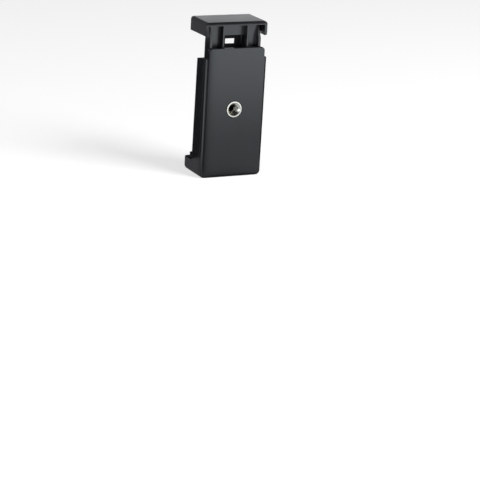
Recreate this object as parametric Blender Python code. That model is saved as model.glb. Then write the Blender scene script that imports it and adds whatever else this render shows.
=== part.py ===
"""Spring clamp with screw mounts: a moulded housing with a fixed lower jaw and a sprung upper jaw.

Metres, +Z up. X runs to the right as seen from behind, +Y points from the rear cover to the jaws' lips.
The origin is on the base plane, on the axis of the base insert, half way along the jaws.
"""

import bmesh
import bpy
from math import cos, pi, sin
from mathutils import Matrix, Vector

# Clearances
GAP = 0.0003
RUN = 0.0003

# Housing
BODY_WIDTH = 0.0352
BODY_DEPTH = 0.0128
JAW_DEPTH = 0.0233
SHOULDER_HEIGHT = 0.0644
SHOULDER_DROP = 0.0016
JAW_TOP = 0.0071
FRONT_WALL = 0.0017
BASE_WALL = 0.0018
BASE_ROUND = 0.0024
FRONT_ROUND = 0.0015
CAVITY_STEP = 0.0009

# Rear cover
SHOULDER_WIDTH = 0.0017
TONGUE_RISE = 0.0054
TONGUE_CORNER = 0.0016
TONGUE_RIM = 0.0016
COVER_EDGE = 0.0027
COVER_WALL = 0.0013
COVER_LEDGE = 0.0025
COVER_RAIL_LAP = 0.0005

# Sliding jaw
SLIDER_INSET = 0.0012
SLIDER_WALL = 0.0013
SLIDER_FLOOR = 0.0012
SLIDER_ROUND = 0.0018
RIB_CLEARANCE = 0.0009
RIB_THICKNESS = 0.0009
CROSSBAR_HEIGHT = 0.0026
LAND_DEPTH = 0.0034
LAND_RISE = 0.0030
TAPER_RISE = 0.0074
PANEL_DROP = 0.0004
PANEL_SINK = 0.0004
PANEL_STEP = 0.0005
PANEL_INSET = 0.0004
WINDOW_DROP = 0.0028
WINDOW_WIDTH = 0.0054
WINDOW_HEIGHT = 0.0027
CAP_HEIGHT = 0.0075
CAP_SETBACK = 0.0019
CAP_PLATE = 0.0019
CAP_FRONT_WALL = 0.0016
CAP_ROUND = 0.0015
CAP_CORNER = 0.0015
SKIRT_ROUND = 0.0008
JAW_LIFT = 0.0114

# Pads and lips
PAD_PROUD = 0.0006
PAD_THICKNESS = 0.0012
PAD_INSET = 0.0021
PAD_BACK = 0.0003
PAD_CORNER = 0.0008
FRONT_PAD_THICKNESS = 0.0008
FRONT_PAD_INSET = 0.0031
FRONT_PAD_RAISE = 0.0021
FRONT_PAD_DROP = 0.0054
LIP_INSET = 0.0036
LIP_THICKNESS = 0.0014
LIP_HEIGHT = 0.0012
CORE_MARGIN = 0.0013

# Thread inserts
INSERT_RADIUS = 0.0043
INSERT_BORE = 0.0032
INSERT_MOUTH = 0.0036
INSERT_GROOVE = 0.0004
INSERT_GROOVE_WIDTH = 0.0014
REAR_INSERT_DROP = 0.0274
REAR_INSERT_LENGTH = 0.0068
BASE_INSERT_COVER = 0.0008
INSERT_BOSS_WALL = 0.0010

# Cover screws
SCREW_SHANK = 0.0010
SCREW_HEAD = 0.0019
SCREW_HEAD_HEIGHT = 0.0011
SCREW_SLOT = 0.0005
SCREW_SLOT_DEPTH = 0.0006
SCREW_SLOT_REACH = 0.0011
SCREW_TIP_COVER = 0.0013
SCREW_SEAT = 0.0022
SCREW_SEAT_DEPTH = 0.0017
SCREW_SEAT_WALL = 0.0008
SCREW_BOSS_WALL = 0.0007
LOWER_SCREW_SPACING = 0.0084
UPPER_SCREW_DROP = 0.0141

# Closing springs
SPRING_CLEARANCE = 0.00045
SPRING_LENGTH = 0.0420
SPRING_TURNS = 30
SPRING_STEPS = 8
SPRING_LEAD = 0.0010
HOOK_STEPS = 6
HOOK_SWEEP = 1.5 * pi
WIRE_RADIUS = 0.00025
PIN_RADIUS = 0.0008
PIN_INSET = 0.0004
PIN_DEPTH = 0.0060
LOWER_PIN_HEIGHT = 0.0045

# Across the width
HALF = BODY_WIDTH / 2
TONGUE_HALF = HALF - SHOULDER_WIDTH
SLIDER_HALF = TONGUE_HALF - SLIDER_INSET
CAVITY_HALF = SLIDER_HALF + RUN
SKIRT_INNER = TONGUE_HALF + RUN
PAD_HALF = HALF - PAD_INSET
FRONT_PAD_HALF = HALF - FRONT_PAD_INSET
LIP_HALF = HALF - LIP_INSET
INSERT_BOSS = INSERT_RADIUS + GAP + INSERT_BOSS_WALL
RIB_INNER = INSERT_BOSS + RIB_CLEARANCE
POCKET_INNER = RIB_INNER + RIB_THICKNESS
POCKET_OUTER = SLIDER_HALF - SLIDER_WALL
SPRING_X = (POCKET_INNER + POCKET_OUTER) / 2
PIN_HALF = SLIDER_HALF - PIN_INSET - SPRING_X
SCREW_BOSS = SCREW_SEAT + SCREW_BOSS_WALL
SLOT_HALF = SCREW_BOSS + RUN

# Through the depth
REAR = -JAW_DEPTH / 2
SHELL_REAR = COVER_EDGE + GAP
SIDE_REAR = COVER_EDGE + RUN
LAND_FACE = SIDE_REAR + LAND_DEPTH
PANEL_FACE = LAND_FACE + PANEL_SINK
FRONT_INNER = BODY_DEPTH - FRONT_WALL
FLOOR_OUTER = FRONT_INNER - RUN
FLOOR_INNER = FLOOR_OUTER - SLIDER_FLOOR
FRONT_PAD_FACE = BODY_DEPTH + PAD_PROUD
FRONT_SEAT = FRONT_PAD_FACE - FRONT_PAD_THICKNESS - GAP
SCREW_SEAT_FACE = FRONT_SEAT - SCREW_SEAT_DEPTH
SCREW_TIP = COVER_WALL + SCREW_TIP_COVER
SHELL_BOSS_END = SCREW_SEAT_FACE - SCREW_SEAT_WALL
BOSS_ROOT = (FRONT_INNER + FRONT_SEAT) / 2
PAD_FRONT = JAW_DEPTH - LIP_THICKNESS - GAP
PAD_REAR = FRONT_PAD_FACE + PAD_BACK
SPRING_ROOM = min((POCKET_OUTER - POCKET_INNER) / 2, FLOOR_INNER - PIN_DEPTH)
SPRING_RADIUS = SPRING_ROOM - WIRE_RADIUS - SPRING_CLEARANCE

# Up the height
CAVITY_FLOOR = JAW_TOP + CAVITY_STEP
TONGUE_HEIGHT = SHOULDER_HEIGHT + TONGUE_RISE
LOWER_PAD_TOP = JAW_TOP + PAD_PROUD
LOWER_PAD_SEAT = LOWER_PAD_TOP - PAD_THICKNESS - GAP
UPPER_PAD_BOTTOM = SHOULDER_HEIGHT + JAW_LIFT
UPPER_PAD_SEAT = UPPER_PAD_BOTTOM + PAD_THICKNESS + GAP
JAW_UNDERSIDE = UPPER_PAD_BOTTOM + PAD_PROUD
CAP_BOTTOM = UPPER_PAD_BOTTOM
CAP_TOP = CAP_BOTTOM + CAP_HEIGHT
CAP_INNER = CAP_TOP - CAP_PLATE
CLOSE_TRAVEL = JAW_LIFT - RUN
LOWER_SCREW_HEIGHT = CAVITY_FLOOR + SCREW_BOSS + GAP
SLIDER_BOTTOM = LOWER_SCREW_HEIGHT + SCREW_BOSS + RUN + CLOSE_TRAVEL
SLOT_BOTTOM = SLIDER_BOTTOM + CROSSBAR_HEIGHT
UPPER_SCREW_HEIGHT = SHOULDER_HEIGHT - UPPER_SCREW_DROP
INSERT_HEIGHT = SHOULDER_HEIGHT - REAR_INSERT_DROP
SLOT_TOP = UPPER_SCREW_HEIGHT + SCREW_BOSS + CLOSE_TRAVEL + RUN
WINDOW_TOP = CAP_BOTTOM - WINDOW_DROP
PANEL_BOTTOM = CAP_BOTTOM - PANEL_DROP
FRONT_PAD_BOTTOM = JAW_TOP + FRONT_PAD_RAISE
FRONT_PAD_TOP = SHOULDER_HEIGHT - FRONT_PAD_DROP
BASE_INSERT_LENGTH = LOWER_PAD_SEAT - BASE_INSERT_COVER - GAP
UPPER_PIN_HEIGHT = LOWER_PIN_HEIGHT + SPRING_LENGTH
LAND_BOTTOM = UPPER_PIN_HEIGHT + LAND_RISE

SIDES = (("left", -1), ("right", 1))
SCREWS = (
    ("cover_screw_upper", 0.0, UPPER_SCREW_HEIGHT),
    ("cover_screw_lower_left", -LOWER_SCREW_SPACING / 2, LOWER_SCREW_HEIGHT),
    ("cover_screw_lower_right", LOWER_SCREW_SPACING / 2, LOWER_SCREW_HEIGHT),
)

# How far a cutter runs past the face that it opens
PAST = 0.002


def clear_scene():
    for old in list(bpy.data.objects):
        bpy.data.objects.remove(old)


def material(name, colour, roughness, metallic=0.0):
    made = bpy.data.materials.new(name)
    made.use_nodes = True
    shader = made.node_tree.nodes["Principled BSDF"]
    shader.inputs["Base Color"].default_value = (*colour, 1.0)
    shader.inputs["Roughness"].default_value = roughness
    shader.inputs["Metallic"].default_value = metallic
    return made


def piece(name, bm, finish=None):
    """Makes an object of a bmesh, with its normals pointing out."""
    bmesh.ops.recalc_face_normals(bm, faces=bm.faces)
    mesh = bpy.data.meshes.new(name)
    bm.to_mesh(mesh)
    bm.free()
    made = bpy.data.objects.new(name, mesh)
    bpy.context.collection.objects.link(made)
    if finish:
        mesh.materials.append(finish)
    return made


def block(low, high):
    """A box between two corners, given as X, depth from the rear face, Z."""
    bm = bmesh.new()
    size = [b - a for a, b in zip(low, high)]
    middle = [(a + b) / 2 for a, b in zip(low, high)]
    place = Matrix.Translation((middle[0], middle[1] + REAR, middle[2])) @ Matrix.Diagonal((*size, 1))
    bmesh.ops.create_cube(bm, size=1, matrix=place)
    return bm


def prism(outline, low, high):
    """An outline of (depth, Z) points drawn along X from low to high."""
    bm = bmesh.new()
    face = bm.faces.new([bm.verts.new((low, depth + REAR, z)) for depth, z in outline])
    pulled = bmesh.ops.extrude_face_region(bm, geom=[face])
    moved = [v for v in pulled["geom"] if isinstance(v, bmesh.types.BMVert)]
    bmesh.ops.translate(bm, verts=moved, vec=(high - low, 0, 0))
    return bm


def rod(radius, start, end, sides=24):
    """A round bar between two points, given as X, depth from the rear face, Z."""
    bm = bmesh.new()
    a = Vector((start[0], start[1] + REAR, start[2]))
    b = Vector((end[0], end[1] + REAR, end[2]))
    turn = Vector((0, 0, 1)).rotation_difference(b - a).to_matrix().to_4x4()
    bmesh.ops.create_cone(
        bm,
        cap_ends=True,
        segments=sides,
        radius1=radius,
        radius2=radius,
        depth=(b - a).length,
        matrix=Matrix.Translation((a + b) / 2) @ turn,
    )
    return bm


def turned(profile, place, steps=32):
    """A closed outline of (radius, height) points spun about +Z and put in its place."""
    bm = bmesh.new()
    ring = [bm.verts.new((radius, 0, height)) for radius, height in profile]
    for a, b in zip(ring, ring[1:] + ring[:1]):
        bm.edges.new((a, b))
    bmesh.ops.spin(
        bm, geom=list(bm.edges), cent=(0, 0, 0), axis=(0, 0, 1), angle=2 * pi, steps=steps, use_merge=True
    )
    bmesh.ops.remove_doubles(bm, verts=bm.verts, dist=1e-6)
    bmesh.ops.transform(bm, matrix=place, verts=bm.verts)
    return bm


def round_edges(bm, width, segments, chosen):
    """Bevels the edges that pass the test."""
    edges = [e for e in bm.edges if chosen(e)]
    bmesh.ops.bevel(
        bm, geom=edges, offset=width, segments=segments, profile=0.5, affect="EDGES", material=-1
    )


def lies_at(edge, x=None, depth=None, z=None):
    """True where both ends of an edge have the given places."""
    y = None if depth is None else depth + REAR
    return all(
        place is None or near(v.co[i], place)
        for v in edge.verts
        for i, place in enumerate((x, y, z))
    )


def near(a, b):
    return abs(a - b) < 1e-6


def combine(target, bm, operation, name):
    """Adds or cuts a shape with a live Boolean."""
    tool = piece(name, bm)
    tool.hide_render = True
    tool.display_type = "WIRE"
    change = target.modifiers.new(name, "BOOLEAN")
    change.operation = operation
    change.object = tool


def cut(target, bm, name):
    combine(target, bm, "DIFFERENCE", name)


def join(target, bm, name):
    combine(target, bm, "UNION", name)


def core(sign, low, high):
    """Cored pocket behind a jaw pad, which keeps the jaw's walls even."""
    inner, outer = sorted((sign * RIB_INNER, sign * LIP_HALF))
    return block((inner, PAD_REAR + CORE_MARGIN, low), (outer, PAD_FRONT - CORE_MARGIN, high))


def make_front_shell(plastic):
    """Front of the housing, moulded in one with the lower jaw."""
    bm = prism(
        (
            (SHELL_REAR, 0),
            (JAW_DEPTH, 0),
            (JAW_DEPTH, JAW_TOP),
            (BODY_DEPTH, JAW_TOP),
            (BODY_DEPTH, SHOULDER_HEIGHT - SHOULDER_DROP),
            (SHELL_REAR, SHOULDER_HEIGHT),
        ),
        -HALF,
        HALF,
    )
    for x in (-HALF, HALF):
        round_edges(bm, FRONT_ROUND, 3, lambda e: lies_at(e, x=x, depth=BODY_DEPTH))
    round_edges(
        bm,
        BASE_ROUND,
        4,
        lambda e: (lies_at(e, z=0) or lies_at(e, depth=JAW_DEPTH))
        and not lies_at(e, z=JAW_TOP)
        and not lies_at(e, depth=SHELL_REAR),
    )
    shell = piece("front_shell", bm, plastic)
    join(
        shell,
        block(
            (-LIP_HALF, JAW_DEPTH - LIP_THICKNESS, JAW_TOP - PAD_PROUD),
            (LIP_HALF, JAW_DEPTH, LOWER_PAD_TOP + LIP_HEIGHT),
        ),
        "lower_lip",
    )
    cut(
        shell,
        block(
            (-CAVITY_HALF, SHELL_REAR - PAST, CAVITY_FLOOR),
            (CAVITY_HALF, FRONT_INNER, SHOULDER_HEIGHT + PAST),
        ),
        "shell_cavity",
    )
    cut(
        shell,
        block(
            (-FRONT_PAD_HALF - GAP, FRONT_SEAT, FRONT_PAD_BOTTOM - GAP),
            (FRONT_PAD_HALF + GAP, BODY_DEPTH + PAST, FRONT_PAD_TOP + GAP),
        ),
        "front_pad_recess",
    )
    cut(
        shell,
        block(
            (-PAD_HALF - GAP, PAD_REAR - GAP, LOWER_PAD_SEAT),
            (PAD_HALF + GAP, PAD_FRONT + GAP, LOWER_PAD_TOP + LIP_HEIGHT + PAST),
        ),
        "lower_pad_recess",
    )
    for name, x, z in SCREWS:
        join(shell, rod(SCREW_BOSS, (x, SHELL_BOSS_END, z), (x, BOSS_ROOT, z), 20), "shell_boss_" + name)
        cut(shell, rod(SCREW_SEAT, (x, SCREW_SEAT_FACE, z), (x, BODY_DEPTH + PAST, z), 20), "seat_" + name)
        cut(
            shell,
            rod(SCREW_SHANK + GAP, (x, SHELL_BOSS_END - PAST, z), (x, SCREW_SEAT_FACE + PAST, z), 16),
            "hole_" + name,
        )
    for side, sign in SIDES:
        x = sign * SPRING_X
        well = (POCKET_OUTER - POCKET_INNER) / 2
        cut(
            shell,
            block(
                (x - well, SHELL_REAR - PAST, BASE_WALL),
                (x + well, FLOOR_INNER, CAVITY_FLOOR + PAST),
            ),
            "spring_well_" + side,
        )
        cut(
            shell,
            block(
                (x - PIN_HALF - GAP, SHELL_REAR - PAST, LOWER_PIN_HEIGHT - PIN_RADIUS - GAP),
                (
                    x + PIN_HALF + GAP,
                    PIN_DEPTH + PIN_RADIUS + GAP,
                    LOWER_PIN_HEIGHT + PIN_RADIUS + GAP,
                ),
            ),
            "pin_notch_" + side,
        )
        cut(shell, core(sign, BASE_WALL, LOWER_PAD_SEAT + PAST), "lower_core_" + side)
    cut(
        shell,
        rod(INSERT_RADIUS + GAP, (0, -REAR, -PAST), (0, -REAR, BASE_INSERT_LENGTH + GAP), 32),
        "base_insert_pocket",
    )


def make_rear_cover(plastic):
    """Flat rear cover: a shallow tray with a tongue that guides the slider."""
    bm = block((-HALF, 0, 0), (HALF, COVER_EDGE, SHOULDER_HEIGHT))
    for x in (-HALF, HALF):
        round_edges(bm, BASE_ROUND, 4, lambda e: lies_at(e, x=x, z=0))
    round_edges(
        bm,
        SHOULDER_WIDTH,
        4,
        lambda e: lies_at(e, depth=0) and not lies_at(e, z=SHOULDER_HEIGHT),
    )
    for x in (-TONGUE_HALF, TONGUE_HALF):
        bmesh.ops.bisect_plane(
            bm,
            geom=list(bm.verts) + list(bm.edges) + list(bm.faces),
            dist=1e-6,
            plane_co=(x, 0, 0),
            plane_no=(1, 0, 0),
        )
    top = [
        f for f in bm.faces
        if all(near(v.co.z, SHOULDER_HEIGHT) for v in f.verts) and near(f.calc_center_median().x, 0)
    ]
    grown = bmesh.ops.extrude_face_region(bm, geom=top)
    moved = [v for v in grown["geom"] if isinstance(v, bmesh.types.BMVert)]
    bmesh.ops.translate(bm, verts=moved, vec=(0, 0, TONGUE_RISE))
    bmesh.ops.delete(bm, geom=[f for f in top if f.is_valid], context="FACES_ONLY")
    for x in (-TONGUE_HALF, TONGUE_HALF):
        round_edges(bm, TONGUE_CORNER, 3, lambda e: lies_at(e, x=x, z=TONGUE_HEIGHT))
    cover = piece("rear_cover", bm, plastic)
    field = POCKET_OUTER - COVER_RAIL_LAP
    cut(
        cover,
        block((-field, COVER_WALL, COVER_LEDGE), (field, COVER_EDGE + PAST, TONGUE_HEIGHT - TONGUE_RIM)),
        "cover_field",
    )
    join(
        cover,
        rod(INSERT_BOSS, (0, COVER_WALL / 2, INSERT_HEIGHT), (0, REAR_INSERT_LENGTH, INSERT_HEIGHT), 32),
        "insert_boss",
    )
    cut(
        cover,
        rod(
            INSERT_RADIUS + GAP,
            (0, -PAST, INSERT_HEIGHT),
            (0, REAR_INSERT_LENGTH + PAST, INSERT_HEIGHT),
            32,
        ),
        "insert_hole",
    )
    for name, x, z in SCREWS:
        end = SHELL_BOSS_END - GAP
        join(cover, rod(SCREW_BOSS, (x, COVER_WALL / 2, z), (x, end, z), 20), "cover_boss_" + name)
        cut(cover, rod(SCREW_SHANK + GAP, (x, SCREW_TIP - GAP, z), (x, end + PAST, z), 16), "pilot_" + name)


def make_sliding_jaw(plastic):
    """Upper jaw: a cap on a ribbed channel that runs inside the housing."""
    bm = block((-HALF, CAP_SETBACK, CAP_BOTTOM), (HALF, JAW_DEPTH, CAP_TOP))
    for x in (-HALF, HALF):
        round_edges(bm, CAP_CORNER, 3, lambda e: lies_at(e, x=x, depth=JAW_DEPTH))
    round_edges(bm, CAP_ROUND, 3, lambda e: lies_at(e, z=CAP_TOP))
    for x in (-HALF, HALF):
        round_edges(bm, SKIRT_ROUND, 2, lambda e: lies_at(e, x=x, z=CAP_BOTTOM))
    jaw = piece("sliding_jaw", bm, plastic)
    cut(
        jaw,
        block((-SKIRT_INNER, -PAST, CAP_BOTTOM - PAST), (SKIRT_INNER, FLOOR_INNER, CAP_INNER)),
        "cap_hollow",
    )
    cut(
        jaw,
        block(
            (-SKIRT_INNER, FLOOR_INNER - PAST, CAP_BOTTOM - PAST),
            (SKIRT_INNER, JAW_DEPTH - CAP_FRONT_WALL, JAW_UNDERSIDE),
        ),
        "cap_underside",
    )
    join(
        jaw,
        block(
            (-LIP_HALF, JAW_DEPTH - LIP_THICKNESS, UPPER_PAD_BOTTOM - LIP_HEIGHT),
            (LIP_HALF, JAW_DEPTH, JAW_UNDERSIDE + PAD_PROUD),
        ),
        "upper_lip",
    )
    cut(
        jaw,
        block(
            (-PAD_HALF - GAP, PAD_REAR - GAP, UPPER_PAD_BOTTOM - LIP_HEIGHT - PAST),
            (PAD_HALF + GAP, PAD_FRONT + GAP, UPPER_PAD_SEAT),
        ),
        "upper_pad_recess",
    )
    wall_top = CAP_INNER + CAP_PLATE / 2
    channel = block((-SLIDER_HALF, SIDE_REAR, SLIDER_BOTTOM), (SLIDER_HALF, FLOOR_OUTER, wall_top))
    for x in (-SLIDER_HALF, SLIDER_HALF):
        round_edges(channel, SLIDER_ROUND, 3, lambda e: lies_at(e, x=x, depth=FLOOR_OUTER))
    join(jaw, channel, "channel")
    cut(
        jaw,
        block((-POCKET_OUTER, -PAST, SLIDER_BOTTOM - PAST), (POCKET_OUTER, FLOOR_INNER, CAP_INNER)),
        "channel_hollow",
    )
    cut(
        jaw,
        block(
            (-RIB_INNER + PANEL_INSET, FLOOR_INNER - PAST, SLIDER_BOTTOM - PAST),
            (RIB_INNER - PANEL_INSET, FLOOR_INNER + PANEL_STEP, PANEL_BOTTOM + PANEL_STEP),
        ),
        "floor_step",
    )
    rib_middle = RIB_INNER + RIB_THICKNESS / 2
    floor_middle = FLOOR_OUTER - SLIDER_FLOOR / 2
    join(
        jaw,
        block((-rib_middle, PANEL_FACE, PANEL_BOTTOM), (rib_middle, floor_middle, wall_top)),
        "panel",
    )
    taper_foot = CAP_INNER - TAPER_RISE * (LAND_DEPTH + PAST) / LAND_DEPTH
    for side, sign in SIDES:
        inner, outer = sorted((sign * (POCKET_OUTER - PAST), sign * CAVITY_HALF))
        wedge = ((SIDE_REAR - PAST, taper_foot), (LAND_FACE, CAP_INNER), (SIDE_REAR - PAST, CAP_INNER))
        cut(jaw, prism(wedge, inner, outer), "wall_taper_" + side)
        inner, outer = sorted((sign * rib_middle, sign * (POCKET_OUTER + SLIDER_WALL / 2)))
        join(jaw, block((inner, LAND_FACE, LAND_BOTTOM), (outer, floor_middle, wall_top)), "land_" + side)
        x = sign * rib_middle
        join(
            jaw,
            block(
                (x - RIB_THICKNESS / 2, SIDE_REAR, SLIDER_BOTTOM),
                (x + RIB_THICKNESS / 2, floor_middle, wall_top),
            ),
            "rib_" + side,
        )
        x = sign * SPRING_X
        cut(
            jaw,
            block(
                (x - PIN_HALF - PAST, SIDE_REAR - PAST, UPPER_PIN_HEIGHT - PIN_RADIUS - GAP),
                (
                    x + PIN_HALF + PAST,
                    PIN_DEPTH + PIN_RADIUS + GAP,
                    UPPER_PIN_HEIGHT + PIN_RADIUS + GAP,
                ),
            ),
            "slider_notch_" + side,
        )
        cut(jaw, core(sign, UPPER_PAD_SEAT - PAST, CAP_INNER), "upper_core_" + side)
    cut(
        jaw,
        block(
            (-SLOT_HALF, FLOOR_INNER - PAST, SLOT_BOTTOM),
            (SLOT_HALF, FLOOR_OUTER + PAST, SLOT_TOP),
        ),
        "slot",
    )
    cut(
        jaw,
        block(
            (-WINDOW_WIDTH / 2, FLOOR_INNER - PAST, WINDOW_TOP - WINDOW_HEIGHT),
            (WINDOW_WIDTH / 2, FLOOR_OUTER + PAST, WINDOW_TOP),
        ),
        "window",
    )


def insert_profile(length):
    """Section of a press-in thread insert: chamfered mouth and one groove between knurls."""
    lip = INSERT_MOUTH - INSERT_BORE
    groove = INSERT_RADIUS - INSERT_GROOVE
    low = (length - INSERT_GROOVE_WIDTH) / 2
    high = (length + INSERT_GROOVE_WIDTH) / 2
    return (
        (INSERT_BORE, lip),
        (INSERT_MOUTH, 0),
        (INSERT_RADIUS, 0),
        (INSERT_RADIUS, low),
        (groove, low + INSERT_GROOVE),
        (groove, high - INSERT_GROOVE),
        (INSERT_RADIUS, high),
        (INSERT_RADIUS, length - INSERT_GROOVE),
        (groove, length),
        (INSERT_BORE, length),
    )


def make_inserts(brass):
    inwards = Matrix.Translation((0, REAR, INSERT_HEIGHT)) @ Matrix.Rotation(-pi / 2, 4, "X")
    piece("rear_thread_insert", turned(insert_profile(REAR_INSERT_LENGTH), inwards), brass)
    piece("base_thread_insert", turned(insert_profile(BASE_INSERT_LENGTH), Matrix.Identity(4)), brass)


def pad(name, low, high, axis, rubber):
    """A flat rubber pad whose corners are rounded along its thin axis."""
    bm = block(low, high)
    round_edges(
        bm,
        PAD_CORNER,
        3,
        lambda e: all(near(e.verts[0].co[i], e.verts[1].co[i]) for i in range(3) if i != axis),
    )
    piece(name, bm, rubber)


def make_pads(rubber):
    pad(
        "lower_jaw_pad",
        (-PAD_HALF, PAD_REAR, LOWER_PAD_TOP - PAD_THICKNESS),
        (PAD_HALF, PAD_FRONT, LOWER_PAD_TOP),
        2,
        rubber,
    )
    pad(
        "upper_jaw_pad",
        (-PAD_HALF, PAD_REAR, UPPER_PAD_BOTTOM),
        (PAD_HALF, PAD_FRONT, UPPER_PAD_BOTTOM + PAD_THICKNESS),
        2,
        rubber,
    )
    pad(
        "front_pad",
        (-FRONT_PAD_HALF, FRONT_PAD_FACE - FRONT_PAD_THICKNESS, FRONT_PAD_BOTTOM),
        (FRONT_PAD_HALF, FRONT_PAD_FACE, FRONT_PAD_TOP),
        1,
        rubber,
    )


def make_screws(steel):
    """Self-tapping screws that reach from under the front pad into the rear cover."""
    for name, x, z in SCREWS:
        head = SCREW_SEAT_FACE + GAP
        screw = piece(name, rod(SCREW_HEAD, (x, head, z), (x, head + SCREW_HEAD_HEIGHT, z), 20), steel)
        join(
            screw,
            rod(SCREW_SHANK, (x, SCREW_TIP, z), (x, head + SCREW_HEAD_HEIGHT / 2, z), 12),
            "shank_" + name,
        )
        floor = head + SCREW_HEAD_HEIGHT - SCREW_SLOT_DEPTH
        arms = (("a", SCREW_SLOT_REACH, SCREW_SLOT / 2), ("b", SCREW_SLOT / 2, SCREW_SLOT_REACH))
        for arm, wide, tall in arms:
            cut(
                screw,
                block((x - wide, floor, z - tall), (x + wide, head + SCREW_HEAD_HEIGHT + PAST, z + tall)),
                "cross_" + arm + "_" + name,
            )


def make_pins(steel):
    """Short pins that carry the hooks of the springs."""
    for side, sign in SIDES:
        for level, z in (("lower", LOWER_PIN_HEIGHT), ("upper", UPPER_PIN_HEIGHT)):
            x = sign * SPRING_X
            ends = (x - PIN_HALF, PIN_DEPTH, z), (x + PIN_HALF, PIN_DEPTH, z)
            piece("spring_pin_" + level + "_" + side, rod(PIN_RADIUS, *ends, 12), steel)


def spring_path(x):
    """Points of one extension spring: lower hook, coil, upper hook."""
    hook = PIN_RADIUS + GAP + WIRE_RADIUS
    y = PIN_DEPTH + REAR
    low = LOWER_PIN_HEIGHT + hook + SPRING_LEAD
    high = UPPER_PIN_HEIGHT - hook - SPRING_LEAD
    steps = SPRING_TURNS * SPRING_STEPS
    points = []
    for i in range(HOOK_STEPS + 1):
        turn = pi / 2 + HOOK_SWEEP * (1 - i / HOOK_STEPS)
        points.append((x, y + hook * cos(turn), LOWER_PIN_HEIGHT + hook * sin(turn)))
    for i in range(steps + 1):
        turn = 2 * pi * i / SPRING_STEPS
        z = low + (high - low) * i / steps
        points.append((x + SPRING_RADIUS * cos(turn), y + SPRING_RADIUS * sin(turn), z))
    for i in range(HOOK_STEPS + 1):
        turn = -pi / 2 + HOOK_SWEEP * i / HOOK_STEPS
        points.append((x, y + hook * cos(turn), UPPER_PIN_HEIGHT + hook * sin(turn)))
    return points


def make_springs(steel):
    for side, sign in SIDES:
        name = "closing_spring_" + side
        curve = bpy.data.curves.new(name, "CURVE")
        curve.dimensions = "3D"
        curve.bevel_depth = WIRE_RADIUS
        curve.bevel_resolution = 0
        curve.use_fill_caps = True
        path = spring_path(sign * SPRING_X)
        line = curve.splines.new("POLY")
        line.points.add(len(path) - 1)
        for point, place in zip(line.points, path):
            point.co = (*place, 1)
        curve.materials.append(steel)
        bpy.context.collection.objects.link(bpy.data.objects.new(name, curve))


clear_scene()
black_plastic = material("black_plastic", (0.018, 0.019, 0.022), 0.42)
black_rubber = material("black_rubber", (0.012, 0.012, 0.013), 0.85)
nickel = material("nickel_plated_brass", (0.78, 0.76, 0.70), 0.25, 1.0)
spring_steel = material("spring_steel", (0.55, 0.55, 0.56), 0.3, 1.0)
screw_steel = material("screw_steel", (0.35, 0.35, 0.37), 0.4, 1.0)
make_front_shell(black_plastic)
make_rear_cover(black_plastic)
make_sliding_jaw(black_plastic)
make_inserts(nickel)
make_pads(black_rubber)
make_screws(screw_steel)
make_pins(spring_steel)
make_springs(spring_steel)
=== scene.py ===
"""Looks of a spring clamp with screw mounts: a black moulded housing, a sprung upper jaw and bright inserts.

Metres, +Z up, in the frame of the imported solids. X runs to the right as seen from behind, where the
rear cover is, and +Y points from the cover to the jaws' lips.
"""

from math import ceil, cos, pi, radians, sin

import bmesh
import bpy
from mathutils import Matrix, Quaternion, Vector


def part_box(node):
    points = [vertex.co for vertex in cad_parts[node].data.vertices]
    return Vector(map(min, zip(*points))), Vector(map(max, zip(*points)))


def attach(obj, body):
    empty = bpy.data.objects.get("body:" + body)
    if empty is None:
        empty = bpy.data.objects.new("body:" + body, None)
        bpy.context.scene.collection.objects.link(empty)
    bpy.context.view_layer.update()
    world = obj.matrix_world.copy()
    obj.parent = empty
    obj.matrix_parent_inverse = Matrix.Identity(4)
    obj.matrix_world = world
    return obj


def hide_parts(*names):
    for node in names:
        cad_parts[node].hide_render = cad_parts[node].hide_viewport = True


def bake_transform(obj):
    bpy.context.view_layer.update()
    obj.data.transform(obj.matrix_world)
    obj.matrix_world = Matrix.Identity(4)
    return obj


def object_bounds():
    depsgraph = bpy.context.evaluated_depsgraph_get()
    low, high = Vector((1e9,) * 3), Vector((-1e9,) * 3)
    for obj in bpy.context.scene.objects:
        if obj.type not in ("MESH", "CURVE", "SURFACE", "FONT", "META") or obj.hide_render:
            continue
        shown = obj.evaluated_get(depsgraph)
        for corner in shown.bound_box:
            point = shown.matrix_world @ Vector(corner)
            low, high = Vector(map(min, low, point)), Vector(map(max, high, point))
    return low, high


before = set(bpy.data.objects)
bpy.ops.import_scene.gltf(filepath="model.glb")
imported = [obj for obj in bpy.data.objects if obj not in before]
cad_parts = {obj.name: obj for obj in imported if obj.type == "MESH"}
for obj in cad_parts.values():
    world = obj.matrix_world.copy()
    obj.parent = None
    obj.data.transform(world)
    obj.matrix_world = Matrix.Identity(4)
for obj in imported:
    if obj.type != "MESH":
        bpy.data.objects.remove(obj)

solids_low, solids_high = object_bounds()
scene = bpy.context.scene
scene.view_settings.view_transform = "Standard"

# The camera looks down a little on the rear cover, from its left, through a long lens.
# It is rolled a few degrees, and the clamp stands in the upper half of the picture.
aim = Vector((0.00778, -0.01165, -0.03594))
azimuth = radians(-26.24)
elevation = radians(17.35)
tilt = radians(3.32)
distance = 1.0538
backwards = Vector((sin(azimuth) * cos(elevation), -cos(azimuth) * cos(elevation), sin(elevation)))
lens = bpy.data.cameras.new("camera")
lens.lens = 146.25
lens.sensor_width = 36
lens.clip_start = 0.05
lens.clip_end = 20
camera = bpy.data.objects.new("camera", lens)
scene.collection.objects.link(camera)
camera.rotation_mode = "QUATERNION"
camera.location = aim + backwards * distance
camera.rotation_quaternion = (-backwards).to_track_quat("-Z", "Y") @ Quaternion((0, 0, 1), tilt)
scene.camera = camera

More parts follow.
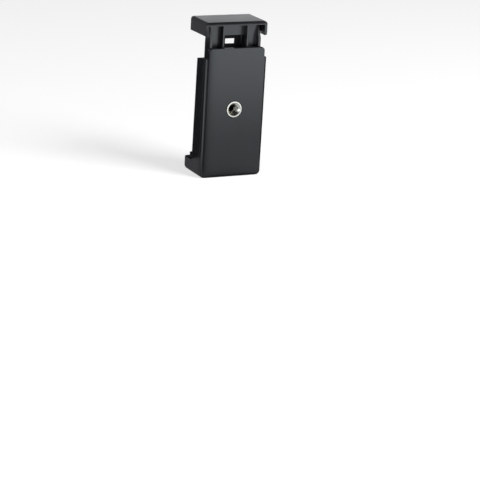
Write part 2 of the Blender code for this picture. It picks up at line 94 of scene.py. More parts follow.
# The floor is a plain pale sweep. What the camera sees of it is lifted towards white, and the soft
# shadow under the clamp stays. In the gloss of the clamp it is a glowing ramp instead, a painted reflection:
# painted shade close by, painted light further off.
floor_bm = bmesh.new()
bmesh.ops.create_circle(floor_bm, cap_ends=True, segments=96, radius=2.5)
floor_mesh = bpy.data.meshes.new("floor")
floor_bm.to_mesh(floor_mesh)
floor_bm.free()
floor = bpy.data.objects.new("floor", floor_mesh)
scene.collection.objects.link(floor)
paper = bpy.data.materials.new("pale_paper")
paper.use_nodes = True
nodes, links = paper.node_tree.nodes, paper.node_tree.links
nodes.clear()
lit = nodes.new("ShaderNodeBsdfDiffuse")
lit.inputs["Color"].default_value = (0.80, 0.80, 0.80, 1)
seen = nodes.new("ShaderNodeBsdfDiffuse")
seen.inputs["Color"].default_value = (0.42, 0.42, 0.42, 1)
lift = nodes.new("ShaderNodeEmission")
lift.inputs["Color"].default_value = (1, 1, 1, 1)
lift.inputs["Strength"].default_value = 0.66
lifted = nodes.new("ShaderNodeAddShader")
# For gloss rays the floor glows by distance through this ramp: painted shade near the clamp, painted light
# further off.
place = nodes.new("ShaderNodeNewGeometry")
reach = nodes.new("ShaderNodeVectorMath")
reach.operation = "LENGTH"
fade = nodes.new("ShaderNodeMapRange")
fade.inputs["From Max"].default_value = 0.30
sweep = nodes.new("ShaderNodeValToRGB")
sweep.color_ramp.elements[0].position = 0.053
sweep.color_ramp.elements[0].color = (0.02, 0.02, 0.02, 1)
sweep.color_ramp.elements[1].position = 0.88
sweep.color_ramp.elements[1].color = (0.88, 0.94, 0.97, 1)
for share, tone in ((0.085, 0.21), (0.15, 0.235), (0.433, 0.23), (0.53, 0.31), (0.72, 0.62)):
    step = sweep.color_ramp.elements.new(share)
    step.color = (tone, tone * 1.06, tone * 1.10, 1)
mirrored = nodes.new("ShaderNodeEmission")
mirrored.inputs["Strength"].default_value = 2.1
rays = nodes.new("ShaderNodeLightPath")
by_gloss = nodes.new("ShaderNodeMixShader")
by_camera = nodes.new("ShaderNodeMixShader")
out = nodes.new("ShaderNodeOutputMaterial")
links.new(seen.outputs[0], lifted.inputs[0])
links.new(lift.outputs[0], lifted.inputs[1])
links.new(place.outputs["Position"], reach.inputs[0])
links.new(reach.outputs["Value"], fade.inputs["Value"])
links.new(fade.outputs["Result"], sweep.inputs["Fac"])
links.new(sweep.outputs["Color"], mirrored.inputs["Color"])
links.new(rays.outputs["Is Glossy Ray"], by_gloss.inputs["Fac"])
links.new(lit.outputs[0], by_gloss.inputs[1])
links.new(mirrored.outputs[0], by_gloss.inputs[2])
links.new(rays.outputs["Is Camera Ray"], by_camera.inputs["Fac"])
links.new(by_gloss.outputs[0], by_camera.inputs[1])
links.new(lifted.outputs[0], by_camera.inputs[2])
links.new(by_camera.outputs[0], out.inputs["Surface"])
floor_mesh.materials.append(paper)

# The room is white to the camera. To the clamp it is a bright ring, brightest at the horizon, under a
# dark ceiling, which gives the cap its pale top and its black rear edge.
room = bpy.data.worlds.new("studio")
room.use_nodes = True
scene.world = room
nodes, links = room.node_tree.nodes, room.node_tree.links
nodes.clear()
where = nodes.new("ShaderNodeTexCoord")
split = nodes.new("ShaderNodeSeparateXYZ")
ring = nodes.new("ShaderNodeValToRGB")
ring.color_ramp.elements[0].position = 0.04
ring.color_ramp.elements[0].color = (0.95, 0.98, 1.0, 1)
ring.color_ramp.elements[1].position = 0.35
ring.color_ramp.elements[1].color = (0.008, 0.008, 0.009, 1)
for share, tone in ((0.12, 0.46), (0.20, 0.33), (0.30, 0.21)):
    step = ring.color_ramp.elements.new(share)
    step.color = (tone, tone * 1.02, tone * 1.05, 1)
soft = nodes.new("ShaderNodeBackground")
soft.inputs["Strength"].default_value = 2.6
white = nodes.new("ShaderNodeBackground")
white.inputs["Color"].default_value = (1, 1, 1, 1)
rays = nodes.new("ShaderNodeLightPath")
either = nodes.new("ShaderNodeMixShader")
out = nodes.new("ShaderNodeOutputWorld")
links.new(where.outputs["Generated"], split.inputs[0])
links.new(split.outputs["Z"], ring.inputs["Fac"])
links.new(ring.outputs["Color"], soft.inputs["Color"])
links.new(rays.outputs["Is Camera Ray"], either.inputs["Fac"])
links.new(soft.outputs[0], either.inputs[1])
links.new(white.outputs[0], either.inputs[2])
links.new(either.outputs[0], out.inputs["Surface"])


# Two soft boxes give the even light: a large one on the right behind the camera and a weaker one
# on its left. They are kept out of the gloss, where they would show as bright patches.
def soft_box(name, place, side, watts):
    lamp = bpy.data.lights.new(name, "AREA")
    lamp.shape = "SQUARE"
    lamp.size = side
    lamp.energy = watts
    box = bpy.data.objects.new(name, lamp)
    scene.collection.objects.link(box)
    box.location = place
    box.rotation_mode = "QUATERNION"
    box.rotation_quaternion = (Vector((0, 0, 0.04)) - box.location).to_track_quat("-Z", "Y")
    box.visible_camera = False
    box.visible_glossy = False


soft_box("key_box", Vector((0.55, -0.80, 0.75)), 0.6, 18.0)
soft_box("fill_box", Vector((-0.95, -0.45, 0.60)), 0.6, 4.0)


# Cards paint reflections into the gloss: only mirrored rays meet them, and they neither light the scene nor
# cast shadow. Black ones stand in front of the housing on both sides and behind its left and right edges, as
# painted dark reflections. A glowing white one paints the pale line along the cover's left edge. Of two
# glowing grey ones, the upright one paints the light on the side of the cap and the flat one that on the
# lower jaw's.
def card(name, low, high, face):
    bm = bmesh.new()
    low, high = Vector(low), Vector(high)
    spread = Matrix.Translation((low + high) / 2) @ Matrix.Diagonal((*(high - low), 1))
    bmesh.ops.create_cube(bm, size=1, matrix=spread)
    mesh = bpy.data.meshes.new(name)
    bm.to_mesh(mesh)
    bm.free()
    mesh.materials.append(face)
    sheet = bpy.data.objects.new(name, mesh)
    scene.collection.objects.link(sheet)
    sheet.visible_camera = False
    sheet.visible_shadow = False
    sheet.visible_diffuse = False


def glowing(name, tone, strength):
    made = bpy.data.materials.new(name)
    made.use_nodes = True
    nodes, links = made.node_tree.nodes, made.node_tree.links
    nodes.clear()
    glow = nodes.new("ShaderNodeEmission")
    glow.inputs["Color"].default_value = (*tone, 1)
    glow.inputs["Strength"].default_value = strength
    out = nodes.new("ShaderNodeOutputMaterial")
    links.new(glow.outputs[0], out.inputs["Surface"])
    return made


# The cards' faces: a black one for painted dark reflections, and glowing white and grey ones for painted
# light in the gloss.
black = bpy.data.materials.new("painted_reflection_black")
black.use_nodes = True
black.node_tree.nodes["Principled BSDF"].inputs["Base Color"].default_value = (0.004, 0.004, 0.005, 1)
black.node_tree.nodes["Principled BSDF"].inputs["Roughness"].default_value = 1.0
white_card = glowing("painted_reflection_white", (0.92, 0.97, 1.0), 1.5)
grey_card = glowing("grey_card", (0.95, 0.95, 1.0), 0.24)
card("card_front_left", (-0.060, 0.0020, 0.0078), (-0.0179, 0.0022, 0.0645), black)
card("card_far_left", (-0.060, 0.0220, 0.0078), (0.0120, 0.0222, 0.0685), black)
card("card_far_left_top", (-0.060, 0.0220, 0.0685), (-0.0185, 0.0222, 0.1150), grey_card)
card("card_low_left", (-0.050, -0.012, 0.0001), (-0.0178, 0.040, 0.0003), grey_card)
card("card_front_right", (0.0183, 0.0022, 0.0080), (0.0783, 0.0024, 0.0752), black)
card("card_rear_left", (-0.0288, -0.0222, 0.0), (-0.0105, -0.0220, 0.080), black)
card("card_rear_right", (0.0448, -0.036, 0.0), (0.0450, 0.0022, 0.080), black)
card("card_side_left", (-0.0622, -0.046, 0.0), (-0.0620, 0.001, 0.080), white_card)


# Front shell: the front half of the housing, with the lower jaw and its lip in one moulding.
# Black glass-filled nylon with a satin skin from a finely sparked mould. The edges that the mould
# leaves sharp are eased a little, and the flat sides carry faint flow marks.
def satin_plastic(name, colour, roughness, specular):
    """Moulded plastic: fine grain as bump, and slow changes of gloss and tone where the melt flowed."""
    made = bpy.data.materials.new(name)
    made.use_nodes = True
    nodes, links = made.node_tree.nodes, made.node_tree.links
    shader = nodes["Principled BSDF"]
    shader.inputs["Specular IOR Level"].default_value = specular
    shader.inputs["IOR"].default_value = 1.5
    where = nodes.new("ShaderNodeTexCoord")
    flow = nodes.new("ShaderNodeTexNoise")
    flow.inputs["Scale"].default_value = 70
    flow.inputs["Detail"].default_value = 3
    gloss = nodes.new("ShaderNodeMapRange")
    gloss.inputs["To Min"].default_value = roughness - 0.04
    gloss.inputs["To Max"].default_value = roughness + 0.04
    tone = nodes.new("ShaderNodeMix")
    tone.data_type = "RGBA"
    tone.inputs["A"].default_value = (*[c * 0.88 for c in colour], 1)
    tone.inputs["B"].default_value = (*[c * 1.12 for c in colour], 1)
    grain = nodes.new("ShaderNodeTexNoise")
    grain.inputs["Scale"].default_value = 3200
    grain.inputs["Detail"].default_value = 2
    relief = nodes.new("ShaderNodeBump")
    relief.inputs["Strength"].default_value = 0.30
    relief.inputs["Distance"].default_value = 0.00002
    links.new(where.outputs["Object"], flow.inputs["Vector"])
    links.new(where.outputs["Object"], grain.inputs["Vector"])
    links.new(flow.outputs["Fac"], gloss.inputs["Value"])
    links.new(gloss.outputs["Result"], shader.inputs["Roughness"])
    links.new(flow.outputs["Fac"], tone.inputs["Factor"])
    links.new(tone.outputs["Result"], shader.inputs["Base Color"])
    links.new(grain.outputs["Fac"], relief.inputs["Height"])
    links.new(relief.outputs["Normal"], shader.inputs["Normal"])
    return made


def finished(name, bm, materials, slot, *replaced):
    """Makes a piece of a bmesh, shades its rounds smooth, and has it stand for its solids."""
    mesh = bpy.data.meshes.new(name)
    bm.to_mesh(mesh)
    bm.free()
    mesh.shade_smooth()
    mesh.set_sharp_from_angle(angle=radians(32))
    for material in materials:
        mesh.materials.append(material)
    made = bpy.data.objects.new(name, mesh)
    scene.collection.objects.link(made)
    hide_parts(*replaced)
    return made


def eased(node, width, sharper_than=40):
    """The form of a moulding with its sharp edges rounded off, as its mould leaves them."""
    bm = bmesh.new()
    bm.from_mesh(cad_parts[node].data)
    bmesh.ops.remove_doubles(bm, verts=bm.verts, dist=2e-6)
    bmesh.ops.dissolve_limit(bm, angle_limit=radians(0.6), verts=bm.verts, edges=bm.edges)
    sharp = [e for e in bm.edges if len(e.link_faces) == 2 and e.calc_face_angle() > radians(sharper_than)]
    rounding = {"segments": 3, "profile": 0.5, "affect": "EDGES", "material": -1}
    bmesh.ops.bevel(bm, geom=sharp, offset=width, clamp_overlap=False, **rounding)
    return bm


def flat_faced(moulding):
    """Gives the normals of a moulding to its large faces, so that only the rounded edges shade round."""
    weigh = moulding.modifiers.new("flat_faces", "WEIGHTED_NORMAL")
    weigh.keep_sharp = True
    weigh.weight = 80


mould_ease = 0.00012
black_plastic = satin_plastic("black_satin_plastic", (0.0085, 0.009, 0.0105), 0.29, 0.6)
shell_bm = eased("front_shell", mould_ease)
shell = finished("front_shell_moulding", shell_bm, [black_plastic], "black_plastic", "front_shell")
flat_faced(shell)
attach(shell, "housing")

# Rear cover: a flat moulded tray with a tongue that stands above the housing's shoulders.
# The same satin black plastic. It is held from the front, so its face shows only the insert.
cover_bm = eased("rear_cover", mould_ease)
cover = finished("rear_cover_moulding", cover_bm, [black_plastic], "black_plastic", "rear_cover")
flat_faced(cover)
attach(cover, "housing")


# Thread inserts: nickel-plated brass bushes with a quarter-inch thread of twenty turns to the inch.
# They are turned on a lathe, knurled in two bands and pressed into the hot plastic, one in the rear
# cover and one in the base.
def helical_wall(bm, root, crest, pitch, low, high, steps):
    """A threaded wall about the Z axis. One row of thread sections is spun with its lead through one
    turn, welded to itself, and cut square at both ends. Returns the edges of the two ends."""
    flat = pitch / 8
    start = low - 1.5 * pitch
    points = [(root, start)]
    for winding in range(ceil((high - low) / pitch) + 2):
        z = start + winding * pitch
        points += [(root, z + flat), (crest, z + pitch / 2), (crest, z + pitch / 2 + flat), (root, z + pitch)]
    line = [bm.verts.new((r, 0, z)) for r, z in points]
    edges = [bm.edges.new(pair) for pair in zip(line, line[1:])]
    turn = {"cent": (0, 0, 0), "axis": (0, 0, 1), "angle": 2 * pi, "steps": steps}
    bmesh.ops.spin(bm, geom=line + edges, dvec=(0, 0, pitch / steps), **turn)
    bmesh.ops.remove_doubles(bm, verts=bm.verts, dist=1e-6)
    ends = []
    for z, way in ((low, -1), (high, 1)):
        everything = bm.verts[:] + bm.edges[:] + bm.faces[:]
        cut = bmesh.ops.bisect_plane(
            bm, geom=everything, dist=1e-7, plane_co=(0, 0, z), plane_no=(0, 0, way), clear_outer=True
        )
        ends.append([g for g in cut["geom_cut"] if isinstance(g, bmesh.types.BMEdge)])
    return ends


def spun(bm, profile, steps):
    """An open line of (radius, height) points spun once about the Z axis. Returns the points' rings."""
    line = [bm.verts.new((r, 0, z)) for r, z in profile]
    edges = [bm.edges.new(pair) for pair in zip(line, line[1:])]
    before = set(bm.verts) - set(line)
    turn = {"cent": (0, 0, 0), "axis": (0, 0, 1), "angle": 2 * pi, "steps": steps}
    bmesh.ops.spin(bm, geom=line + edges, use_merge=True, **turn)
    made = [v for v in bm.verts if v not in before]
    return [
        [v for v in made if abs(v.co.z - z) < 1e-7 and abs(v.co.xy.length - r) < 1e-7] for r, z in profile
    ]


def rim(ring):
    """The open edges that join the points of a ring."""
    points = set(ring)
    return [e for e in {e for v in ring for e in v.link_edges} if e.is_boundary and set(e.verts) <= points]


def plated_nickel(name, centre, along):
    """Nickel plate over turned brass, with the lathe's fine rings about the bush's own axis."""
    made = bpy.data.materials.new(name)
    made.use_nodes = True
    nodes, links = made.node_tree.nodes, made.node_tree.links
    shader = nodes["Principled BSDF"]
    shader.inputs["Base Color"].default_value = (0.86, 0.83, 0.76, 1)
    shader.inputs["Metallic"].default_value = 1.0
    where = nodes.new("ShaderNodeTexCoord")
    onto_axis = nodes.new("ShaderNodeMapping")
    onto_axis.inputs["Location"].default_value = -centre
    lathe = nodes.new("ShaderNodeTexWave")
    lathe.wave_type = "RINGS"
    lathe.rings_direction = along
    lathe.inputs["Scale"].default_value = 2600
    lathe.inputs["Distortion"].default_value = 0.6
    patches = nodes.new("ShaderNodeTexNoise")
    patches.inputs["Scale"].default_value = 900
    gloss = nodes.new("ShaderNodeMapRange")
    gloss.inputs["To Min"].default_value = 0.16
    gloss.inputs["To Max"].default_value = 0.32
    relief = nodes.new("ShaderNodeBump")
    relief.inputs["Strength"].default_value = 0.25
    relief.inputs["Distance"].default_value = 0.00001
    links.new(where.outputs["Object"], onto_axis.inputs["Vector"])
    links.new(onto_axis.outputs["Vector"], lathe.inputs["Vector"])
    links.new(where.outputs["Object"], patches.inputs["Vector"])
    links.new(patches.outputs["Fac"], gloss.inputs["Value"])
    links.new(gloss.outputs["Result"], shader.inputs["Roughness"])
    links.new(lathe.outputs["Fac"], relief.inputs["Height"])
    links.new(relief.outputs["Normal"], shader.inputs["Normal"])
    return made


def thread_bush(length, outer):
    """A bush about the Z axis with its mouth at the origin and its body above it."""
    pitch = 0.0254 / 20
    major = 0.0032
    minor = 0.0026
    mouth = 0.0036
    lip = 0.0003
    chamfer = 0.00005
    knurl_depth = 0.00018
    knurl_runout = 0.0001
    plain_band = 0.0007
    groove = 0.0004
    groove_half = 0.0007
    groove_low = length / 2 - groove_half
    groove_high = length / 2 + groove_half
    tail = 0.0004
    teeth = 48
    thread_steps = 48
    bm = bmesh.new()
    ends = helical_wall(bm, major, minor, pitch, 2 * lip, length - 2 * lip, thread_steps)
    profile = (
        (major + lip / 3, lip),
        (mouth, 0),
        (outer - chamfer, 0),
        (outer, chamfer),
        (outer, plain_band),
        (outer, plain_band + knurl_runout),
        (outer, groove_low - knurl_runout),
        (outer, groove_low),
        (outer - groove, groove_low + groove),
        (outer - groove, groove_high - groove),
        (outer, groove_high),
        (outer, groove_high + knurl_runout),
        (outer, length - tail - knurl_runout),
        (outer, length - tail),
        (outer - groove, length),
        (major + lip / 3, length),
    )
    rings = spun(bm, profile, 2 * teeth)
    for ring in (rings[5], rings[6], rings[11], rings[12]):
        for vert in ring:
            step = round((vert.co.xy.angle_signed(Vector((1, 0)), 0) / (2 * pi)) * 2 * teeth)
            if step % 2:
                vert.co.xy *= (outer - knurl_depth) / outer
    for end, ring in zip(ends, (rings[0], rings[-1])):
        bmesh.ops.bridge_loops(bm, edges=[e for e in end if e.is_valid] + rim(ring))
    bmesh.ops.recalc_face_normals(bm, faces=bm.faces)
    return bm


rear_low, rear_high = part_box("rear_thread_insert")
rear_mouth = Vector(((rear_low.x + rear_high.x) / 2, rear_low.y, (rear_low.z + rear_high.z) / 2))
rear_bush = thread_bush(rear_high.y - rear_low.y, (rear_high.x - rear_low.x) / 2)
inwards = Matrix.Translation(rear_mouth) @ Matrix.Rotation(-pi / 2, 4, "X")
bmesh.ops.transform(rear_bush, matrix=inwards, verts=rear_bush.verts)
rear_insert = finished(
    "rear_thread_bush",
    rear_bush,
    [plated_nickel("nickel_plate_rear", rear_mouth, "Y")],
    "insert_nickel",
    "rear_thread_insert",
)
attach(rear_insert, "housing")

base_low, base_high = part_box("base_thread_insert")
base_mouth = Vector(((base_low.x + base_high.x) / 2, (base_low.y + base_high.y) / 2, base_low.z))
base_bush = thread_bush(base_high.z - base_low.z, (base_high.x - base_low.x) / 2)
bmesh.ops.translate(base_bush, verts=base_bush.verts, vec=base_mouth)
base_insert = finished(
    "base_thread_bush",
    base_bush,
    [plated_nickel("nickel_plate_base", base_mouth, "Z")],
    "insert_nickel",
    "base_thread_insert",
)
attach(base_insert, "housing")

# Sliding jaw: the cap that grips, moulded in one with the ribbed channel below it.
# The same plastic; the ribs and the slot guide it on the cover's tongue and on a screw boss. The
# stepped hollow between the ribs gets a darker, less glossy and rougher plastic: painted shade in that
# recess.
shade_mask_half = 0.0062
shade_mask_depth = 0.0100
shade_mask_top = 0.0752
recess_shade_plastic = satin_plastic("painted_shade_recess_plastic", (0.006, 0.006, 0.007), 0.62, 0.2)
jaw_bm = eased("sliding_jaw", mould_ease)
# Rear-facing faces inside the hollow take the darker plastic, as painted shade.
for face in jaw_bm.faces:
    middle = face.calc_center_median()
    inside = abs(middle.x) < shade_mask_half and middle.y > solids_low.y + shade_mask_depth and middle.z < shade_mask_top
    if inside and face.normal.y < -0.5:
        face.material_index = 1
jaw = finished("sliding_jaw_moulding", jaw_bm, [black_plastic, recess_shade_plastic], "black_plastic", "sliding_jaw")
flat_faced(jaw)
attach(jaw, "jaw")


# Jaw pads and front pad: black rubber, moulded flat with rounded corners and with ribs across the
# faces that grip. Each is stuck in a shallow recess.
def soft_rubber(name):
    """Dull rubber with a fine matt grain and faint dusty patches."""
    made = bpy.data.materials.new(name)
    made.use_nodes = True
    nodes, links = made.node_tree.nodes, made.node_tree.links
    shader = nodes["Principled BSDF"]
    shader.inputs["Specular IOR Level"].default_value = 0.35
    shader.inputs["Sheen Weight"].default_value = 0.08
    where = nodes.new("ShaderNodeTexCoord")
    patches = nodes.new("ShaderNodeTexNoise")
    patches.inputs["Scale"].default_value = 140
    patches.inputs["Detail"].default_value = 4
    tone = nodes.new("ShaderNodeMix")
    tone.data_type = "RGBA"
    tone.inputs["A"].default_value = (0.014, 0.014, 0.015, 1)
    tone.inputs["B"].default_value = (0.026, 0.026, 0.027, 1)
    gloss = nodes.new("ShaderNodeMapRange")
    gloss.inputs["To Min"].default_value = 0.66
    gloss.inputs["To Max"].default_value = 0.82
    grain = nodes.new("ShaderNodeTexNoise")
    grain.inputs["Scale"].default_value = 5200
    relief = nodes.new("ShaderNodeBump")
    relief.inputs["Strength"].default_value = 0.4
    relief.inputs["Distance"].default_value = 0.00002
    links.new(where.outputs["Object"], patches.inputs["Vector"])
    links.new(where.outputs["Object"], grain.inputs["Vector"])
    links.new(patches.outputs["Fac"], tone.inputs["Factor"])
    links.new(tone.outputs["Result"], shader.inputs["Base Color"])
    links.new(patches.outputs["Fac"], gloss.inputs["Value"])
    links.new(gloss.outputs["Result"], shader.inputs["Roughness"])
    links.new(grain.outputs["Fac"], relief.inputs["Height"])
    links.new(relief.outputs["Normal"], shader.inputs["Normal"])
    return made


def ribbed_pad(width, length, thickness, ribs):
    """A pad on the XY plane about the origin, with ribs along X on its upper face."""
    corner = 0.0008
    border = 0.0006
    rib_height = 0.00035
    rib_ease = 0.00007
    bm = bmesh.new()
    plate = thickness - rib_height
    lift = Matrix.Translation((0, 0, plate / 2))
    bmesh.ops.create_cube(bm, size=1, matrix=lift @ Matrix.Diagonal((width, length, plate, 1)))
    upright = [e for e in bm.edges if abs(e.verts[0].co.z - e.verts[1].co.z) > plate / 2]
    bevel = {"profile": 0.5, "affect": "EDGES", "material": -1}
    bmesh.ops.bevel(bm, geom=upright, offset=corner, segments=6, **bevel)
    upper = max(bm.faces, key=lambda f: f.calc_center_median().z)
    bmesh.ops.bevel(bm, geom=list(upper.edges), offset=rib_ease, segments=2, **bevel)
    upper = max(bm.faces, key=lambda f: (round(f.calc_center_median().z, 7), f.calc_area()))
    bmesh.ops.inset_region(bm, faces=[upper], thickness=border, use_even_offset=True)
    field = [upper]
    pitch = (length - 2 * border) / (2 * ribs - 1)
    for line in range(1, 2 * ribs - 1):
        y = -length / 2 + border + line * pitch
        around = field + list({e for f in field for e in f.edges}) + list({v for f in field for v in f.verts})
        bmesh.ops.bisect_plane(bm, geom=around, dist=1e-7, plane_co=(0, y, 0), plane_no=(0, 1, 0))
        field = [
            f for f in bm.faces
            if f.normal.z > 0.9
            and f.calc_center_median().z > plate - 1e-6
            and all(abs(v.co.y) < length / 2 - border + 1e-6 for v in f.verts)
            and all(abs(v.co.x) < width / 2 - border + 1e-6 for v in f.verts)
        ]
    field.sort(key=lambda f: f.calc_center_median().y)
    raised = bmesh.ops.extrude_face_region(bm, geom=field[::2])["geom"]
    tops = [g for g in raised if isinstance(g, bmesh.types.BMFace)]
    bmesh.ops.delete(bm, geom=[f for f in field[::2] if f.is_valid], context="FACES_ONLY")
    bmesh.ops.translate(bm, verts=list({v for f in tops for v in f.verts}), vec=(0, 0, rib_height))
    crests = list({e for f in tops for e in f.edges})
    bmesh.ops.bevel(bm, geom=crests, offset=rib_ease, segments=2, **bevel)
    bmesh.ops.recalc_face_normals(bm, faces=bm.faces)
    return bm


black_rubber = soft_rubber("black_soft_rubber")
facing = {
    "lower_jaw_pad": ("housing", Matrix.Identity(4), 5),
    "upper_jaw_pad": ("jaw", Matrix.Rotation(pi, 4, "X"), 5),
    "front_pad": ("housing", Matrix.Rotation(-pi / 2, 4, "X"), 24),
}
for node, (body, turn, ribs) in facing.items():
    low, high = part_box(node)
    size = turn.to_3x3().transposed() @ (high - low)
    pad_bm = ribbed_pad(abs(size.x), abs(size.y), abs(size.z), ribs)
    seat = (low + high) / 2 - turn.to_3x3() @ Vector((0, 0, abs(size.z) / 2))
    bmesh.ops.transform(pad_bm, matrix=Matrix.Translation(seat) @ turn, verts=pad_bm.verts)
    pad = finished("ribbed_" + node, pad_bm, [black_rubber], "black_rubber", node)
    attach(pad, body)


# Cover screws: three self-tapping steel screws with pan heads and cross recesses. They are cold
# headed, rolled and blackened, and driven from under the front pad into the cover's bosses.
def brushed_steel(name, colour, roughness):
    """Drawn or headed steel with fine scratches and slightly uneven gloss."""
    made = bpy.data.materials.new(name)
    made.use_nodes = True
    nodes, links = made.node_tree.nodes, made.node_tree.links
    shader = nodes["Principled BSDF"]
    shader.inputs["Base Color"].default_value = (*colour, 1)
    shader.inputs["Metallic"].default_value = 1.0
    where = nodes.new("ShaderNodeTexCoord")
    patches = nodes.new("ShaderNodeTexNoise")
    patches.inputs["Scale"].default_value = 1500
    patches.inputs["Detail"].default_value = 3
    gloss = nodes.new("ShaderNodeMapRange")
    gloss.inputs["To Min"].default_value = roughness - 0.07
    gloss.inputs["To Max"].default_value = roughness + 0.07
    relief = nodes.new("ShaderNodeBump")
    relief.inputs["Strength"].default_value = 0.2
    relief.inputs["Distance"].default_value = 0.00001
    links.new(where.outputs["Object"], patches.inputs["Vector"])
    links.new(patches.outputs["Fac"], gloss.inputs["Value"])
    links.new(gloss.outputs["Result"], shader.inputs["Roughness"])
    links.new(patches.outputs["Fac"], relief.inputs["Height"])
    links.new(relief.outputs["Normal"], shader.inputs["Normal"])
    return made


def tapping_screw(length, head, head_height):
    """A screw about the Z axis with its tip at the origin and its head at the top."""
    crest = 0.0010
    root = 0.00074
    pitch = 0.0008
    tip = 0.0008
    neck = 0.0006
    neck_step = 0.0001
    edge = 0.00012
    arm = 0.00026
    reach = 0.00105
    depth = 0.0006
    steps = 24
    bm = bmesh.new()
    under = length - head_height
    ends = helical_wall(bm, root, crest, pitch, tip, under - neck, steps)
    point = spun(bm, ((edge, 0), (root * 0.8, tip - 2 * neck_step)), steps)
    profile = (
        (crest * 0.85, under - neck + 2 * neck_step),
        (crest * 0.9, under - neck + 3 * neck_step),
        (crest * 0.9, under - neck_step),
        (crest, under),
        (head - edge, under),
        (head, under + edge),
        (head, under + head_height * 0.45),
        (head * 0.93, under + head_height * 0.75),
        (head * 0.80, under + head_height * 0.93),
        (head * 0.66, length),
    )
    top = spun(bm, profile, steps)
    bmesh.ops.contextual_create(bm, geom=rim(point[0]))
    bmesh.ops.bridge_loops(bm, edges=[e for e in ends[0] if e.is_valid] + rim(point[1]))
    bmesh.ops.bridge_loops(bm, edges=[e for e in ends[1] if e.is_valid] + rim(top[0]))
    quarter = [(reach, arm), (arm, arm), (arm, reach)]
    outline = [Matrix.Rotation(turn * pi / 2, 2) @ Vector(corner) for turn in range(4) for corner in quarter]
    corners = [bm.verts.new((x, y, length)) for x, y in outline]
    cross_edges = [bm.edges.new((a, b)) for a, b in zip(corners, corners[1:] + corners[:1])]
    bmesh.ops.triangle_fill(bm, use_beauty=True, edges=rim(top[-1]) + cross_edges)
    walls = bmesh.ops.extrude_edge_only(bm, edges=cross_edges)["geom"]
    floor_points = [g for g in walls if isinstance(g, bmesh.types.BMVert)]
    bmesh.ops.translate(bm, verts=floor_points, vec=(0, 0, -depth))
    bmesh.ops.scale(bm, verts=floor_points, vec=(0.6, 0.6, 1))
    floor_edges = [g for g in walls if isinstance(g, bmesh.types.BMEdge) and g.is_boundary]
    bmesh.ops.contextual_create(bm, geom=floor_edges)
    bmesh.ops.recalc_face_normals(bm, faces=bm.faces)
    return bm


screw_steel = brushed_steel("blackened_screw_steel", (0.33, 0.33, 0.35), 0.38)
pan_height = 0.0011
for node in ("cover_screw_upper", "cover_screw_lower_left", "cover_screw_lower_right"):
    low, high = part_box(node)
    screw_bm = tapping_screw(high.y - low.y, (high.x - low.x) / 2, pan_height)
    screw_tip = Vector(((low.x + high.x) / 2, low.y, (low.z + high.z) / 2))
    forwards = Matrix.Translation(screw_tip) @ Matrix.Rotation(-pi / 2, 4, "X")
    bmesh.ops.transform(screw_bm, matrix=forwards, verts=screw_bm.verts)
    screw = finished("threaded_" + node, screw_bm, [screw_steel], "screw_steel", node)
    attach(screw, "housing")

# Spring pins: short bright steel dowels, two in the shell's base and two across the slider's pockets.
# Each has chamfered ends and a shallow waist that keeps the hook in the middle.
spring_steel = brushed_steel("bright_spring_steel", (0.60, 0.60, 0.61), 0.26)
dowel_chamfer = 0.00015
waist_half = 0.0007
waist_depth = 0.0001
for level, body in (("lower", "housing"), ("upper", "jaw")):
    for side in ("left", "right"):
        node = "spring_pin_" + level + "_" + side
        low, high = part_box(node)
        half = (high.x - low.x) / 2
        radius = (high.z - low.z) / 2
        dowel = bmesh.new()
        rings = spun(
            dowel,
            (
                (radius - dowel_chamfer, -half),
                (radius, dowel_chamfer - half),
                (radius, -waist_half - waist_depth),
                (radius - waist_depth, -waist_half),
                (radius - waist_depth, waist_half),
                (radius, waist_half + waist_depth),
                (radius, half - dowel_chamfer),
                (radius - dowel_chamfer, half),
            ),
            32,
        )
        for ring in (rings[0], rings[-1]):
            bmesh.ops.contextual_create(dowel, geom=rim(ring))
        bmesh.ops.recalc_face_normals(dowel, faces=dowel.faces)
        across = Matrix.Translation((low + high) / 2) @ Matrix.Rotation(pi / 2, 4, "Y")
        bmesh.ops.transform(dowel, matrix=across, verts=dowel.verts)
        pin = finished("waisted_" + node, dowel, [spring_steel], "spring_steel", node)
        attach(pin, body)
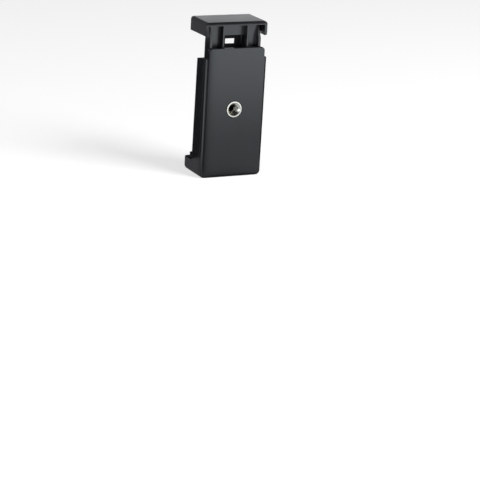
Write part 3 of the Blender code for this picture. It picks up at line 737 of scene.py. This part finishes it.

# Closing springs: extension springs of hard-drawn steel wire, thirty turns and a crossover hook at
# each end. The hooks sit on the pins. On the clamp the coils stretch as the jaw is lifted; this mesh is wound
# at rest only.
wire_radius = 0.00025
wire_sides = 8
half_turns = 15
turn_steps = 20
hook_sweep = radians(310)
hook_steps = 24
hook_lead = 0.0010
lead_steps = 10
hook_clearance = 0.0003
for side in ("left", "right"):
    low_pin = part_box("spring_pin_lower_" + side)
    high_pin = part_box("spring_pin_upper_" + side)
    low = sum(low_pin, Vector()) / 2
    high = sum(high_pin, Vector()) / 2
    pin_radius = (low_pin[1].z - low_pin[0].z) / 2
    hook = pin_radius + hook_clearance + wire_radius
    coil_low, coil_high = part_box("closing_spring_" + side)
    coil = (coil_high.x - coil_low.x) / 2 - wire_radius
    reach = (high.z - low.z) / 2
    rise = reach - hook - hook_lead
    spring_bm = bmesh.new()
    upright = Matrix.Translation((coil, 0, 0)) @ Matrix.Rotation(pi / 2, 4, "X")
    circle = bmesh.ops.create_circle(spring_bm, segments=wire_sides, radius=wire_radius, matrix=upright)
    section = circle["verts"]
    last = section + list({e for v in section for e in v.link_edges})
    stages = (
        ((0, 0, 0), (0, 0, 1), rise, half_turns * 2 * pi, half_turns * turn_steps),
        ((coil / 2, 0, 0), (0, 0, 1), hook_lead, pi, lead_steps),
        ((0, 0, reach), (-1, 0, 0), 0, hook_sweep, hook_steps),
    )
    for centre, axis, lead, sweep, steps in stages:
        climb = (0, 0, lead / steps)
        last = bmesh.ops.spin(
            spring_bm, geom=last, cent=centre, axis=axis, dvec=climb, angle=sweep, steps=steps
        )["geom_last"]
    bmesh.ops.contextual_create(spring_bm, geom=[g for g in last if isinstance(g, bmesh.types.BMEdge)])
    whole = spring_bm.verts[:] + spring_bm.edges[:] + spring_bm.faces[:]
    other = bmesh.ops.duplicate(spring_bm, geom=whole)["geom"]
    other_points = [g for g in other if isinstance(g, bmesh.types.BMVert)]
    bmesh.ops.rotate(spring_bm, verts=other_points, cent=(0, 0, 0), matrix=Matrix.Rotation(pi, 3, "X"))
    bmesh.ops.remove_doubles(spring_bm, verts=spring_bm.verts, dist=1e-6)
    bmesh.ops.recalc_face_normals(spring_bm, faces=spring_bm.faces)
    bmesh.ops.translate(spring_bm, verts=spring_bm.verts, vec=(low + high) / 2)
    spring = finished(
        "wound_closing_spring_" + side, spring_bm, [spring_steel], "spring_steel", "closing_spring_" + side
    )
    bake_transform(spring)
